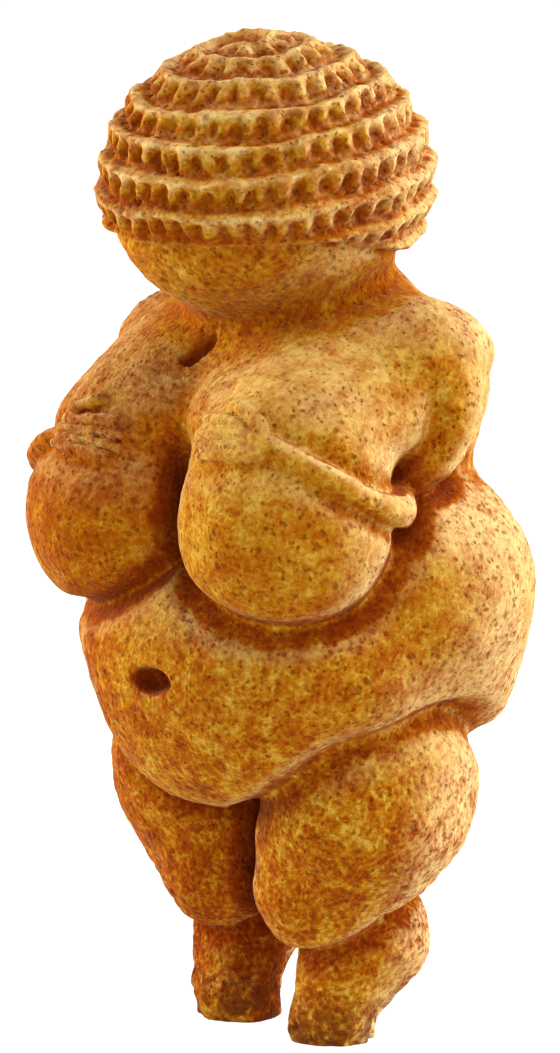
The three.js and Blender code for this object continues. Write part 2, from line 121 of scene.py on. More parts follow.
def merge(a, b, softness):
    """The lesser of two distances, rounded over where they are nearly the same."""
    h = np.maximum(softness - np.abs(a - b), 0)
    return np.minimum(a, b) - h * h / (4 * softness)


GROOVE_FADE = -4, -1  # distances from the surface between which a groove comes in


def crease(a, b, depth, width):
    """A groove where two surfaces meet, which fades out inside the stone."""
    near = smooth(1 - np.abs(a - b) / width, 0, 1)
    return depth * near * smooth(np.minimum(a, b), *GROOVE_FADE)


def blend(softness, *forms):
    """Forms that run into each other."""

    def distance(points):
        out = forms[0](points)
        for form in forms[1:]:
            out = merge(out, form(points), softness)
        return out

    return distance


def fold(softness, depth, width, *forms):
    """Forms that meet in a crease."""

    def distance(points):
        out = forms[0](points)
        for form in forms[1:]:
            other = form(points)
            out = merge(out, other, softness) + crease(out, other, depth, width)
        return out

    return distance


def carve(softness, form, tool):
    """A form with a tool's shape taken away."""
    return lambda points: -merge(-form(points), tool(points), softness)


def within(centre, radius, gap, form):
    """Skips the work on a form at points further than a gap from the ball that holds it."""

    def distance(points):
        out = np.linalg.norm(points - np.array(centre), axis=1) - radius
        near = out < gap
        if near.any():
            out[near] = form(points[near])
        return out

    return distance


def pair(form):
    """A form on her right and on her left side."""
    return form(-1), form(1)


def chain(softness, points, radii):
    """Bars from point to point."""
    links = zip(points, points[1:], radii, radii[1:])
    return blend(softness, *[limb(*link) for link in links])


def curve(points, steps):
    """A smooth curve through points, with as many steps between each two."""
    points = np.array(points, float)
    ends = 2 * points[0] - points[1], 2 * points[-1] - points[-2]
    padded = np.vstack([ends[0], points, ends[1]])
    share = (np.arange(steps) / steps)[:, None]
    spans = []
    for a, b, c, d in zip(padded, padded[1:], padded[2:], padded[3:]):
        square = (2 * a - 5 * b + 4 * c - d) * share**2
        cube = (3 * b - a - 3 * c + d) * share**3
        spans.append((2 * b + (c - a) * share + square + cube) / 2)
    return np.vstack([*spans, points[-1:]])


def slope(form, points, reach=0.04):
    """How fast a form's distance grows along x, y and z."""
    steps = reach * np.eye(3)
    rises = [form(points + step) - form(points - step) for step in steps]
    return np.stack(rises, axis=1) / (2 * reach)


def wobble(a, b, c):
    """A slow unevenness from -1 to 1, as hand work has."""
    first = np.sin(1.7 * a + 1.3 * np.sin(1.1 * b))
    second = np.sin(2.3 * b + 1.1 * np.sin(1.9 * c))
    third = np.sin(1.3 * c + 1.7 * np.sin(0.9 * a))
    return (first + second + third) / 3


# Head: an egg, bowed forward, under one long knotted coil that winds down from the crown

HEAD_SIZE = 15.2, 15.6, 13.2
HEAD_TURNS = {"pitch": 14, "roll": 2.5}
HEAD_RISE = math.hypot(
    HEAD_SIZE[1] * math.sin(math.radians(HEAD_TURNS["pitch"])),
    HEAD_SIZE[2] * math.cos(math.radians(HEAD_TURNS["pitch"])),
)
CROWN = 99.98  # height of the top of the cap
HEAD_AT = 0.4, -3.8, CROWN - COIL_RELIEF / PART - HEAD_RISE
CAP_EDGE_FRONT = 98  # degrees from the crown to the cap's lower edge
CAP_EDGE_BACK = 128
COIL_WANDER = 0.12  # how far the coil strays, as a share of its width
LIP_SHARE = 0.26  # how much of the coil's relief is the sharp lip on its upper side
KNOT_WANDER = 0.2  # how far a knot strays, as a share of its length
KNOT_SLANT = 0.35  # how far a knot leans from one side of the coil to the other
KNOT_PIT = 0.8  # depth of the pits between knots, as a share of the coil's relief
KNOT_WEAR = 0.22  # how far the most worn knot is down, as a share of the coil's relief
CAP_CUT = 0.35  # depth of the groove under the cap's edge
CAP_LIFT = 0.1  # how far the cap's own surface stands over the head
CAP_LOW = 74  # height under which nothing is part of the cap

skull = ball(HEAD_AT, HEAD_SIZE, **HEAD_TURNS)


def coil(points):
    """How far the cap covers points, its height there from 0 to 1, and the cut under its edge."""
    x, y, z = turned(points, HEAD_AT, **HEAD_TURNS)
    x, y, z = x / HEAD_SIZE[0], y / HEAD_SIZE[1], z / HEAD_SIZE[2]
    flat = np.hypot(x, y)
    polar = np.arctan2(flat, z)
    around = np.arctan2(x, -y) / (2 * math.pi)
    radius = (HEAD_SIZE[0] + HEAD_SIZE[1] + 2 * HEAD_SIZE[2]) / 4
    width = COIL_WIDTH / PART / radius
    knot = KNOT_LENGTH / PART / radius
    turns = polar / width - around + COIL_WANDER * wobble(5 * x, 5 * y, 5 * z)
    turn = np.floor(turns)
    across = turns - turn
    middle = (turn + 0.5 + around) * width
    # How many knots lie on the coil between the crown and each point
    knots = 2 * math.pi * (1 - np.cos(middle)) / (width * knot)
    knots = knots + KNOT_WANDER * wobble(6 * x + 3, 6 * z, 6 * y)
    slanted = knots + KNOT_SLANT * (across - 0.5)
    wave = 0.5 + 0.5 * np.cos(2 * math.pi * slanted)
    rib = np.sqrt(wave)
    lip = np.exp(-(((across - 0.3 + 0.07 * (wave - 0.5)) / 0.17) ** 2))
    rope = (1 - LIP_SHARE) * np.sin(math.pi * across) ** 0.6 + LIP_SHARE * lip
    pit = KNOT_PIT * (1 - rib) * np.exp(-(((across - 0.64) / 0.27) ** 4))
    place = np.stack([turn, np.round(slanted), np.zeros_like(turn)], axis=1)
    pit = pit + KNOT_WEAR * rib * lattice(place, 50)
    facing = smooth(-y / np.maximum(flat, 1e-6), -0.75, 0.9)
    edge = np.radians(CAP_EDGE_BACK + (CAP_EDGE_FRONT - CAP_EDGE_BACK) * facing)
    covered = smooth(edge - polar, -0.02, 0.07)
    cut = CAP_CUT * np.exp(-(((edge - polar + 0.03) / 0.035) ** 2))
    return covered, (rope - pit) * smooth(polar, 0, 0.12), cut


def capped_head(points):
    """The skull with the coil on it."""
    covered, height, cut = coil(points)
    return skull(points) - covered * (CAP_LIFT + COIL_RELIEF / PART * height) + cut


head = within(HEAD_AT, 18, 8, capped_head)


# Trunk: chest, shoulders and neck, then belly and hips under a shallow fold, then buttocks

chest = blend(
    6,
    ball((0, 4.2, 58), (16.4, 11.3, 19), pitch=4),
    limb((-11.5, 3, 66.4), (11.5, 3, 66.4), 7.2, 7.2),
    limb((0, 3.4, 66), (0, -1.2, 79), 10, 8.6),
    ball((0, -7.5, 55), (6.5, 5.4, 9)),
    *pair(lambda side: ball((side * 8.6, -6, 62.3), (8.8, 8, 8.4), roll=side * -20)),
    *pair(lambda side: ball((side * 14.6, 1.8, 65.4), (5.6, 6, 6.6))),
)
belly = blend(
    6,
    ball((0.8, -4.4, 40.5), (20.5, 16, 13), pitch=8),
    ball((0.2, -8.2, 32.5), (12, 9.4, 8.4)),
)
hips = pair(lambda side: ball((side * 13, 2.4, 46), (12.3, 13.4, 12.6), roll=side * -12))
buttocks = pair(lambda side: ball((side * 9, 8.8, 39.3), (11.2, 10.4, 12.2)))
spine = ball((0.3, 18.8, 60), (1.6, 4.5, 12))
trunk = carve(3, blend(4, fold(5.5, 0.6, 4, chest, belly, *hips), *buttocks), spine)


# Legs: thighs that press together and overhang the calves, which taper to stubs


def leg(side):
    """A thigh that ends in a bulge at the knee, over a short calf."""
    thigh = blend(
        4,
        ball((side * 9.4, 0.8, 29), (10.6, 12.4, 14.5), roll=side * -12),
        limb((side * 8.6, -0.4, 24), (side * 6.6, -2.6, 15.8), 9.3, 6.7),
    )
    shin = (7, 2, 16), (7.4, 1.6, 9.5), (6.5, -0.6, 2), (6.4, -1.1, -2)
    calf = blend(
        3,
        chain(0.8, [(side * x, y, z) for x, y, z in shin], [6, 5.6, 4.5, 3.9]),
        ball((side * 8.2, 4.6, 9.6), (5, 4.6, 5)),
    )
    return fold(1.2, 0.8, 2.4, thigh, calf)


groin = limb((0, 2.5, 34), (0, 0, 14.5), 6, 3)
legs = blend(1, fold(1.2, 0.8, 2.4, *pair(leg)), groin)
lower = fold(1.8, 1.3, 3.2, trunk, legs)


# Breasts: they run smoothly out of the chest above and lie over the belly in a deep crease


def breast(side):
    """A full, hanging breast, her left one a little higher."""
    at = side * 10.4, -11.4, 54.2 + 0.5 * side
    return blend(
        4,
        ball(at, (11, 10, 10.6), pitch=-18, roll=side * -12),
        ball((side * 10, -10.6, 50.6), (9.6, 9.6, 7.8)),
    )


breasts = fold(2, 0.8, 2.8, *pair(breast))


def torso(points):
    """Everything but the arms, the navel and the head."""
    z = points[:, 2]
    a, b = lower(points), breasts(points)
    groove = crease(a, b, 1.2 * (1 - smooth(z, 56, 64)), 3.2)
    return merge(a, b, 1.6 + 8 * smooth(z, 55, 64)) + groove


# Arms: thin bars in relief that follow the flanks down and come up over the breasts

# Angle from the front, height, radius, and lift of the arm's middle over the surface
ARM = (
    (96, 68, 4.4, -2.9),
    (93, 63.5, 3.7, -1.7),
    (88, 58.8, 3.1, -1.1),
    (79, 55.2, 2.6, -1),
    (67, 54.8, 2.2, -0.9),
    (55, 57.2, 1.9, -0.7),
    (44, 59.8, 1.7, -0.6),
    (35, 61.5, 1.6, -0.6),
)
ARM_SPAN_STEPS = 3
ARM_TILT = 0.6  # how much higher her left arm lies than the middle of the two
WRIST = 35, 61.5  # angle from the front and height
HAND_TOWARD = 20, 61.2
FINGERS = 4
FINGER_REACH = 7.6  # from the wrist to the tips of the middle ones
FINGER_STEP = 0.4  # how much shorter the outer fingers are
FINGER_SPACING = 0.62  # from finger to finger at the wrist, as a share of a finger's width
FINGER_RADII = 0.62, 0.54  # at the wrist and the tip, as shares of the width
FINGER_FAN = 0.05  # how far each finger turns away from the next one
FINGER_LIFT = 0.25
THUMB_REACH = 4.2
THUMB_RADII = 0.64, 0.56
THUMB_FAN = 0.6
REACH = 40  # further out than any part of the torso
CLOSE = 1e-4  # how near the surface a point laid on it is
SETTLE_ROUNDS = 5
WALK_STEPS = 5


def lay(angle, height, lift):
    """The point at an angle, height and lift over the torso's surface."""
    out = np.array([math.sin(math.radians(angle)), -math.cos(math.radians(angle)), 0])
    inside, outside = 0.0, float(REACH)
    while outside - inside > CLOSE:
        middle = (inside + outside) / 2
        if torso(np.array([out * middle + (0, 0, height)]))[0] < 0:
            inside = middle
        else:
            outside = middle
    return out * (inside + lift) + (0, 0, height)


def settle(point):
    """The point of the torso's surface near a point, and the surface's direction there."""
    for _ in range(SETTLE_ROUNDS):
        uphill = slope(torso, point[None])[0]
        point = point - torso(point[None])[0] * uphill / (uphill @ uphill)
    return point, uphill / np.linalg.norm(uphill)


def walk(start, toward, length, lift):
    """Points over the torso's surface, straight on from one of them."""
    point, out = settle(start)
    path = [point + lift * out]
    for _ in range(WALK_STEPS):
        toward = toward - (toward @ out) * out
        point, out = settle(point + toward / np.linalg.norm(toward) * length / WALK_STEPS)
        path.append(point + lift * out)
    return path


def on_side(side, angle, height, lift=0):
    """A point on one side of the torso, at the height that suits that side's arm."""
    return lay(side * angle, height + ARM_TILT * side, lift)


def arm(side):
    """A thin arm from the shoulder to the wrist."""
    points = [on_side(side, angle, height, lift) for angle, height, _, lift in ARM]
    path = curve(points, ARM_SPAN_STEPS)
    steps = np.arange(len(path)) / ARM_SPAN_STEPS
    radii = np.interp(steps, np.arange(len(ARM)), [radius for _, _, radius, _ in ARM])
    return within((side * 15, -7, 62), 16, 8, chain(0.05, path, radii))


def hand(side):
    """Four fingers and a thumb that fan out from the wrist and lie on the surface."""
    wrist, out = settle(on_side(side, *WRIST))
    along = on_side(side, *HAND_TOWARD) - wrist
    along /= np.linalg.norm(along)
    up = side * np.cross(along, out)
    width = FINGER_WIDTH / PART
    bars = []

    def bar(start, toward, length, radii):
        path = walk(start, toward, length, FINGER_LIFT)
        bars.append(chain(0.05, path, np.linspace(*radii, len(path)) * width))

    for i in range(FINGERS):
        row = i - (FINGERS - 1) / 2
        start = wrist + up * row * width * FINGER_SPACING
        length = FINGER_REACH - FINGER_STEP * row * row
        bar(start, along + up * row * FINGER_FAN, length, FINGER_RADII)
    bar(wrist + up * width, along + up * THUMB_FAN, THUMB_REACH, THUMB_RADII)
    return within(wrist, FINGER_REACH + 1, 6, fold(0.15, 0.3, 0.5, *bars))


arms = pair(arm)
hands = pair(hand)
navel = ball((0.3, -21.6, 38.2), (NAVEL_WIDTH / PART / 2, 4.2, NAVEL_HEIGHT / PART / 2))
STRAY = 0.3  # how far hand work strays from the plain form


def figure(points):
    """The whole figure, in hundredths of its height."""
    x, y, z = points.T
    out = torso(points)
    for form in arms:
        other = form(points)
        groove = crease(out, other, 0.6 * (1 - smooth(z, 64, 69)), 1.8)
        out = merge(out, other, 0.8 + 4 * smooth(z, 64, 70)) + groove
    for form in hands:
        out = merge(out, form(points), 0.6)
    out = -merge(-out, navel(points), 0.7)
    out = merge(out, head(points), 1.8)
    return out + STRAY * wobble(x / 5, y / 5, z / 5)


# Surface: the form sampled on a grid, with one point in each cell that the surface crosses

HALVINGS = 3  # how often the grid is refined near the surface
CAUTION = 1.3  # how many diagonals of a block the surface may be away where it is refined


def sample(form, low, high, cell):
    """Values of a form at the points of a grid, exact only near the surface."""
    step = 2**HALVINGS
    blocks = np.ceil((high - low) / (cell * step)).astype(int)
    values = np.zeros(blocks + 1)
    doubt = np.inf
    while True:
        near = np.argwhere(np.abs(values) <= doubt)
        values[tuple(near.T)] = form(low + near * cell * step)
        if step == 1:
            return values
        doubt = CAUTION * math.sqrt(3) * cell * step
        step //= 2
        blocks = blocks * 2
        for axis in range(3):
            values = np.repeat(values, 2, axis).take(range(blocks[axis] + 1), axis)


def shifted(array, axis, by, size):
    """A block of an array that starts some cells along the two other axes."""
    at = [slice(None)] * 3
    for other, start in zip([i for i in range(3) if i != axis], by):
        at[other] = slice(start, start + size[other])
    return array[tuple(at)]


SLIGHT = 0.01  # distance that a grid point gets when it is moved to the surface's other side
MOST_ROUNDS = 12  # of looking for pinches, because mending one can make another


def corner_of_cells(grid, corner):
    """The block of a grid that holds one corner of each cell."""
    block = [slice(start, size - 1 + start) for start, size in zip(corner, grid.shape)]
    return grid[tuple(block)]


def turned_over(values, rings):
    """Moves each ring's point nearest the surface to the surface's other side; counts rings."""
    nearest = np.abs(values[tuple(rings.T)]).argmin(axis=0)
    at = tuple(rings[np.arange(len(rings)), nearest].T)
    values[at] = np.where(values[at] < 0, SLIGHT, -SLIGHT)
    return len(rings)


def without_pinches(values):
    """The same grid with no place where two sheets of the surface would touch.

    They touch on a face whose corners lie inside and outside in turn, and in a cell where
    only two opposite corners lie on their side of the surface.
    """
    x, y, z = np.eye(3, dtype=int)
    cube = np.array(list(np.ndindex(2, 2, 2)))
    for _ in range(MOST_ROUNDS):
        found = 0
        for u, v in ((y, z), (x, z), (x, y)):
            corners = np.array([0 * u, u, u + v, v])
            inside = values < 0
            a, b, c, d = (corner_of_cells(inside, corner) for corner in corners)
            faces = np.argwhere((a == c) & (b == d) & (a != b))
            found += turned_over(values, faces[:, None] + corners)
        for number, corner in enumerate(cube[:4]):
            inside = values < 0
            own = corner_of_cells(inside, corner)
            alike = [corner_of_cells(inside, other) == own for other in cube]
            opposite = alike[-1 - number]
            cells = np.argwhere(opposite & (np.sum(alike, axis=0, dtype=np.int8) == 2))
            found += turned_over(values, cells[:, None] + [corner, 1 - corner])
        if not found:
            break
    return values


def polygonise(form, low, high, cell):
    """The points and four-sided faces of a form's surface."""
    values = without_pinches(sample(form, low, high, cell))
    size = np.array(values.shape) - 1
    total = np.zeros((*size, 3))
    count = np.zeros(size)
    crossings = []
    for axis in range(3):
        first = values.take(range(size[axis]), axis)
        second = values.take(range(1, size[axis] + 1), axis)
        crossed = (first < 0) != (second < 0)
        share = np.where(crossed, first / np.where(crossed, first - second, 1), 0)
        crossings.append((crossed, first < 0))
        others = [i for i in range(3) if i != axis]
        for by in np.ndindex(2, 2):
            here = shifted(crossed, axis, by, size)
            count += here
            total[..., axis] += shifted(share, axis, by, size) * here
            total[..., others[0]] += by[0] * here
            total[..., others[1]] += by[1] * here
    live = count > 0
    number = np.full(size, -1)
    number[live] = np.arange(live.sum())
    points = low + cell * (np.argwhere(live) + total[live] / count[live][:, None])
    quads = []
    for axis, (crossed, starts_inside) in enumerate(crossings):
        u, v = (np.eye(3, dtype=int)[(axis + step) % 3] for step in (1, 2))
        at = np.argwhere(crossed)
        at = at[((at - u - v) >= 0).all(axis=1) & (at < size).all(axis=1)]
        ring = [number[tuple(place.T)] for place in (at - u - v, at - v, at, at - u)]
        quad = np.stack(ring, axis=1)
        out = starts_inside[tuple(at.T)]
        quads += [quad[out], quad[~out][:, ::-1]]
    return points, np.concatenate(quads)


# Fine relief: what the grain, the tools and the wear have left, along the surface's normal


def lattice(cells, seed):
    """A fixed number from 0 to 1 for each cell of whole numbers."""
    primes = np.array([73856093, 19349663, 83492791])
    mixed = np.bitwise_xor.reduce(cells.astype(np.int64) * primes, axis=-1) + seed * 374761393
    mixed = (mixed ^ (mixed >> 13)) * 1274126177
    return ((mixed ^ (mixed >> 16)) & 0xFFFF) / 0xFFFF


def noise(points, size, seed):
    """Smooth noise from -1 to 1 with lumps of about a size."""
    scaled = points / size
    cells = np.floor(scaled).astype(int)
    share = scaled - cells
    share = share * share * (3 - 2 * share)
    out = np.zeros(len(points))
    for corner in np.ndindex(2, 2, 2):
        weight = np.prod(np.where(corner, share, 1 - share), axis=1)
        out += weight * lattice(cells + corner, seed)
    return 2 * out - 1


LEAST_PIT = 0.35  # radius of the smallest pit, as a share of the largest one's


def pits(points, spacing, radius, seed):
    """Round hollows from 0 to 1, at most one in each cell of a grid, of uneven size."""
    cells = np.floor(points / spacing).astype(int)
    out = np.zeros(len(points))
    for offset in np.ndindex(3, 3, 3):
        cell = cells + offset - 1
        centre = [cell[:, i] + lattice(cell, seed + i) for i in range(3)]
        size = radius * (LEAST_PIT + (1 - LEAST_PIT) * lattice(cell, seed + 3) ** 2)
        away = points - np.stack(centre, axis=1) * spacing
        out = np.maximum(out, 1 - (away**2).sum(axis=1) / size**2)
    return out


# Depth, size and seed of the lumps of each kind of grain
UNEVENNESS = (1, 9, 1), (0.5, 4.5, 2)  # where the stone is more weathered, and has large pits
GRAIN = (0.1, 3.2, 3), (0.07, 1.6, 4)
STUB_GRAIN = (0.4, 2.1, 6), (0.18, 1, 7)
CAP_GRAIN = (0.14, 1.3, 8), (0.08, 0.7, 9)
FINE_GRAIN = 0.8, 5  # size and seed
FINE_GRAIN_DEPTH = 0.06
FINE_GRAIN_WEATHERING = 0.07  # how much deeper it is where the stone is most weathered
GRAIN_LOW = 1.5  # how coarse the grain is low on the legs
GRAIN_LOSS = 0.6  # how much less coarse it is from the belly up
GRAIN_DEPTH = 0.1  # how far the grain's middle lies under the plain form

# Spacing, greatest radius and seed of pits and chips, and how deep they are
SMALL_PITS, SMALL_PIT_DEPTH = (1.5, 0.62, 20), 0.2
LARGE_PITS, LARGE_PIT_DEPTH = (5.5, 1.25, 30), 0.4
CHIPS, CHIP_DEPTH = (3.4, 1.6, 40), 0.7

# Heights between which the roughness of the broken ends, the chips on them and the coarseness
# of the legs fade out, and the cap's grain comes in
STUB_FADE = 1.5, 7
CHIP_FADE = 0.5, 4
LEG_FADE = 8, 45
CAP_FADE = CAP_LOW, CAP_LOW + 6

SCRATCHES = (  # start and end of each on the body, as angle from the front and height
    ((14, 44), (15.5, 41.5)),
    ((38, 47), (30, 43.5)),
    ((42, 45.5), (36, 43)),
    ((-30, 36), (-24, 40)),
    ((60, 40), (52, 43)),
    ((150, 58), (143, 50)),
    ((205, 55), (214, 60)),
    ((170, 40), (163, 36)),
    ((100, 46), (92, 41)),
    ((-100, 45), (-92, 49)),
)
SCRATCH_RADIUS = 0.35
SCRATCH_LIFT = 0.1  # how far a scratch's middle lies over the surface
SCRATCH_DEPTH = 0.5  # as a share of what the scratch's bar takes away

HOLLOW = (-14, 68), (-8, 70)  # the ends of a natural hollow in the chest, written the same way
HOLLOW_RADIUS = 1.1
HOLLOW_DEPTH = 1.0
HOLLOW_WALL = 0.5  # how far in from its edge the hollow reaches its depth


def lumps(points, layers):
    """Grain of two sizes or more."""
    return sum(depth * noise(points, size, seed) for depth, size, seed in layers)


def in_hollow(points):
    """How far inside the natural hollow a point is, from 0 to 1."""
    start, end = (lay(*place, -0.5 * HOLLOW_DEPTH) for place in HOLLOW)
    bar = limb(start, end, HOLLOW_RADIUS, 0.8 * HOLLOW_RADIUS)
    return smooth(-bar(points), 0, HOLLOW_WALL)


def relief(points):
    """Height over the plain form, and how pitted a point is from 0 to 1."""
    z = points[:, 2]
    uneven = lumps(points, UNEVENNESS)
    weathered = smooth(uneven, -0.2, 0.9)
    height = lumps(points, GRAIN)
    fine_depth = FINE_GRAIN_DEPTH + FINE_GRAIN_WEATHERING * weathered
    height += fine_depth * noise(points, *FINE_GRAIN)
    height *= GRAIN_LOW - GRAIN_LOSS * smooth(z, *LEG_FADE)
    height += (1 - smooth(z, *STUB_FADE)) * lumps(points, STUB_GRAIN)
    height += smooth(z, *CAP_FADE) * lumps(points, CAP_GRAIN)
    small = pits(points, *SMALL_PITS) * (0.35 + 0.65 * weathered)
    large = pits(points, *LARGE_PITS) * smooth(uneven, 0.1, 0.8)
    height -= SMALL_PIT_DEPTH * smooth(small, 0, 1) + LARGE_PIT_DEPTH * smooth(large, 0, 1)
    chips = pits(points, *CHIPS) * (1 - smooth(z, *CHIP_FADE))
    hollow = in_hollow(points)
    height -= CHIP_DEPTH * smooth(chips, 0, 0.6) + GRAIN_DEPTH + HOLLOW_DEPTH * hollow
    return height, np.maximum.reduce([small, large, 0.6 * hollow])


def scratched(points, height):
    """Heights with the scratches taken out of them."""
    for place in SCRATCHES:
        start, end = (lay(*at, SCRATCH_LIFT) for at in place)
        bar = limb(start, end, SCRATCH_RADIUS, 0.5 * SCRATCH_RADIUS)
        height = height - SCRATCH_DEPTH * np.maximum(-bar(points), 0)
    return height


def hollowness(points, outward, reach):
    """How much stone stands around a point, from 0 on flat stone to 1 in a deep crease.

    With a reach below zero it looks inward instead, and gives how much is missing there.
    """
    return np.clip(1 - figure(points + reach * outward) / reach, 0, 1)


# The carved piece


def shown(name, mesh):
    """A new object in the scene, with smooth shading."""
    for polygon in mesh.polygons:
        polygon.use_smooth = True
    thing = bpy.data.objects.new(name, mesh)
    bpy.context.collection.objects.link(thing)
    return thing


def mesh_of(points, faces):
    mesh = bpy.data.meshes.new("figurine_surface")
    mesh.from_pydata(points.tolist(), [], faces.tolist())
    return mesh


def points_of(mesh):
    out = np.empty(len(mesh.vertices) * 3)
    mesh.vertices.foreach_get("co", out)
    return out.reshape(-1, 3)


def move_to(mesh, points):
    """Puts a mesh's points at new places."""
    mesh.vertices.foreach_set("co", points.ravel())
    mesh.update()


def normals_of(mesh):
    """The surface's direction at each of a mesh's points."""
    out = np.empty(len(mesh.vertices) * 3, dtype=np.float32)
    mesh.vertex_normals.foreach_get("vector", out)
    return out.reshape(-1, 3).astype(float)


def thinned(mesh, most):
    """The same surface with no more than so many triangles, spent where it is most uneven."""
    mesh.calc_loop_triangles()
    holder = bpy.data.objects.new("thinning", mesh)
    bpy.context.collection.objects.link(holder)
    holder.modifiers.new("thin", "DECIMATE").ratio = min(1, most / len(mesh.loop_triangles))
    evaluated = holder.evaluated_get(bpy.context.evaluated_depsgraph_get())
    out = bpy.data.meshes.new_from_object(evaluated)
    bpy.data.objects.remove(holder)
    bpy.data.meshes.remove(mesh)
    return out


def islands(work):
    """The faces of each separate surface, the largest last."""
    left, found = set(work.faces), []
    while left:
        front = [left.pop()]
        island = list(front)
        while front:
            edges = front.pop().edges
            near = {face for edge in edges for face in edge.link_faces if face in left}
            left -= near
            front += near
            island += near
        found.append(island)
    return sorted(found, key=len)


def sawn(mesh):
    """The mesh without crumbs, its stubs cut off flat at z = 0 and closed."""
    work = bmesh.new()
    work.from_mesh(mesh)
    pinched = [edge for edge in work.edges if len(edge.link_faces) > 2]
    bmesh.ops.collapse(work, edges=pinched)
    for crumb in islands(work)[:-1]:
        bmesh.ops.delete(work, geom=crumb, context="FACES")
    everything = [*work.verts, *work.edges, *work.faces]
    plane = {"plane_co": (0, 0, 0), "plane_no": (0, 0, -1), "dist": 1e-7}
    cut = bmesh.ops.bisect_plane(work, geom=everything, clear_outer=True, **plane)
    edges = [item for item in cut["geom_cut"] if isinstance(item, bmesh.types.BMEdge)]
    bmesh.ops.holes_fill(work, edges=edges)
    bmesh.ops.triangulate(work, faces=[face for face in work.faces if len(face.verts) > 3])
    work.to_mesh(mesh)
    work.free()
    return mesh


def add_attributes(mesh, **attributes):
    """Writes values for each of a mesh's points, for the material to read."""
    for name, values in attributes.items():
        layer = mesh.attributes.new(name, "FLOAT", "POINT")
        layer.data.foreach_set("value", values.astype(np.float32))


# Corners of the block that holds the figure, and how far a sampled point may be put right
BLOCK = np.array([-30.0, -28.0, -4.0]), np.array([30.0, 26.0, 104.0])
MOST_CORRECTION = 0.3

# How far out from the surface each attribute looks for stone; below zero, it looks inward
CREASE_REACH = 1.2
VALLEY_REACH = 3.4
SHELTER_REACH = 9
BULGE_REACH = -1.2
DIRECTION_REACH = 0.8  # over how far the surface's direction is taken


def rough_surface():
    """The figure's mesh with its relief, thinned and sawn, in hundredths of its height."""
    points, faces = polygonise(figure, *BLOCK, CELL / PART)
    gradient = slope(figure, points)
    steep = np.maximum((gradient**2).sum(axis=1), 0.1)
    error = np.clip(figure(points) / steep, -MOST_CORRECTION, MOST_CORRECTION)
    points -= error[:, None] * gradient
    mesh = mesh_of(points, faces)
    height = scratched(points, relief(points)[0])
    move_to(mesh, points + height[:, None] * normals_of(mesh))
    return sawn(thinned(mesh, MOST_TRIANGLES))


def bare_share(outward):
    """How much ochre the surface lost to handling, most at the shoulders, hips and right flank, partly
    painted highlight where the side and top lights fall.
    """
    x, y, z = outward.T
    # paler where the surface faces sideways and back: rubbed ochre, partly painted highlight on the rims
    behind = smooth(y, -0.55, 0.3) * (1 - 0.55 * smooth(y, 0.65, 1))
    # paler facing up and on her right flank: painted highlight where the top and rim lights fall
    above, right = smooth(z, 0.1, 0.85), smooth(x, -0.45, -0.85)
    return np.minimum(behind + 0.6 * above + right, 1)


def carve_figurine():
    """The finished piece, without its material, over the middle of the CAD model."""
    mesh = rough_surface()
    points = points_of(mesh)
    outward = slope(figure, points, DIRECTION_REACH)
    outward /= np.maximum(np.linalg.norm(outward, axis=1), 0.05)[:, None]
    covered, height, _ = coil(points)
    covered = covered * (points[:, 2] > CAP_LOW)
    add_attributes(
        mesh,
        # crease, valley and shelter measure the stone around each point; the material turns them partly
        # into ochre and partly into painted shade
        crease=hollowness(points, outward, CREASE_REACH),
        valley=hollowness(points, outward, VALLEY_REACH),
        bulge=hollowness(points, outward, BULGE_REACH),
        shelter=hollowness(points, outward, SHELTER_REACH),
        bare=bare_share(outward),
        pitted=relief(points)[1],
        lip=covered * smooth(height, 0.6, 0.9),
        knot_pit=covered * smooth(height, 0.6, 0.2),
    )
    cad_middle = np.array([cad_low[:2], cad_high[:2]]).mean(axis=0) / PART
    points[:, :2] += cad_middle - (points.min(axis=0) + points.max(axis=0))[:2] / 2
    move_to(mesh, points * PART)
    return shown("figurine_stone", mesh)


# Material: yellow grainy limestone rubbed with red ochre


def colour(red, green, blue):
    """A colour written as it shows on a screen, from 0 to 255, as a node wants it."""
    shares = [value / 255 for value in (red, green, blue)]
    return (*[s / 12.92 if s <= 0.04045 else ((s + 0.055) / 1.055) ** 2.4 for s in shares], 1.0)


# Tints from little ochre to much, each at its level of ochre
OCHRE_TINTS = (
    (0.38, colour(183, 144, 54)),
    (0.48, colour(163, 108, 20)),
    (0.57, colour(148, 77, 8)),
    (0.68, colour(126, 52, 7)),
    (0.78, colour(114, 40, 5)),
    (0.90, colour(98, 33, 4)),
)
# cream of worn stone, also used for painted highlight on rims and tops
WORN_AND_LIT_CREAM = colour(208, 179, 124)
SPECK_BROWN = colour(108, 39, 4)
SPECK_SHARE = 0.67  # how much a full speck takes of its own tint
STUB_BROWN = colour(82, 41, 15)
STUB_SHARE = 0.8
FINISH = {  # dull stone with a faint warm glow at its edges
    "IOR": 1.45,
    "Specular IOR Level": 0.0,
    "Sheen Weight": 0.14,
    "Sheen Roughness": 0.35,
    "Sheen Tint": colour(255, 226, 165),
}
ROUGHNESS = 0.7
SPECK_ROUGHNESS = 0.95
BUMP = {"Strength": 0.7, "Distance": 0.0003}
MOTTLE_BUMP = 1.2  # height of the mottle and the sand against the depth of a speck
SAND_BUMP = 0.9

# How much more ochre there is at most in darker clouds; in folds, partly ochre and partly painted shade;
# and low down and on her right, painted shade
CLOUD_OCHRE = 0.04
SHELTER_OCHRE_AND_SHADE = 0.06
FOLD_OCHRE_AND_SHADE = 0.13
CREASE_OCHRE_AND_SHADE = 0.15
KNOT_PIT_OCHRE = 0.1
# painted shade: more ochre, so darker, low on the legs
LOW_PAINTED_SHADE = 0.045
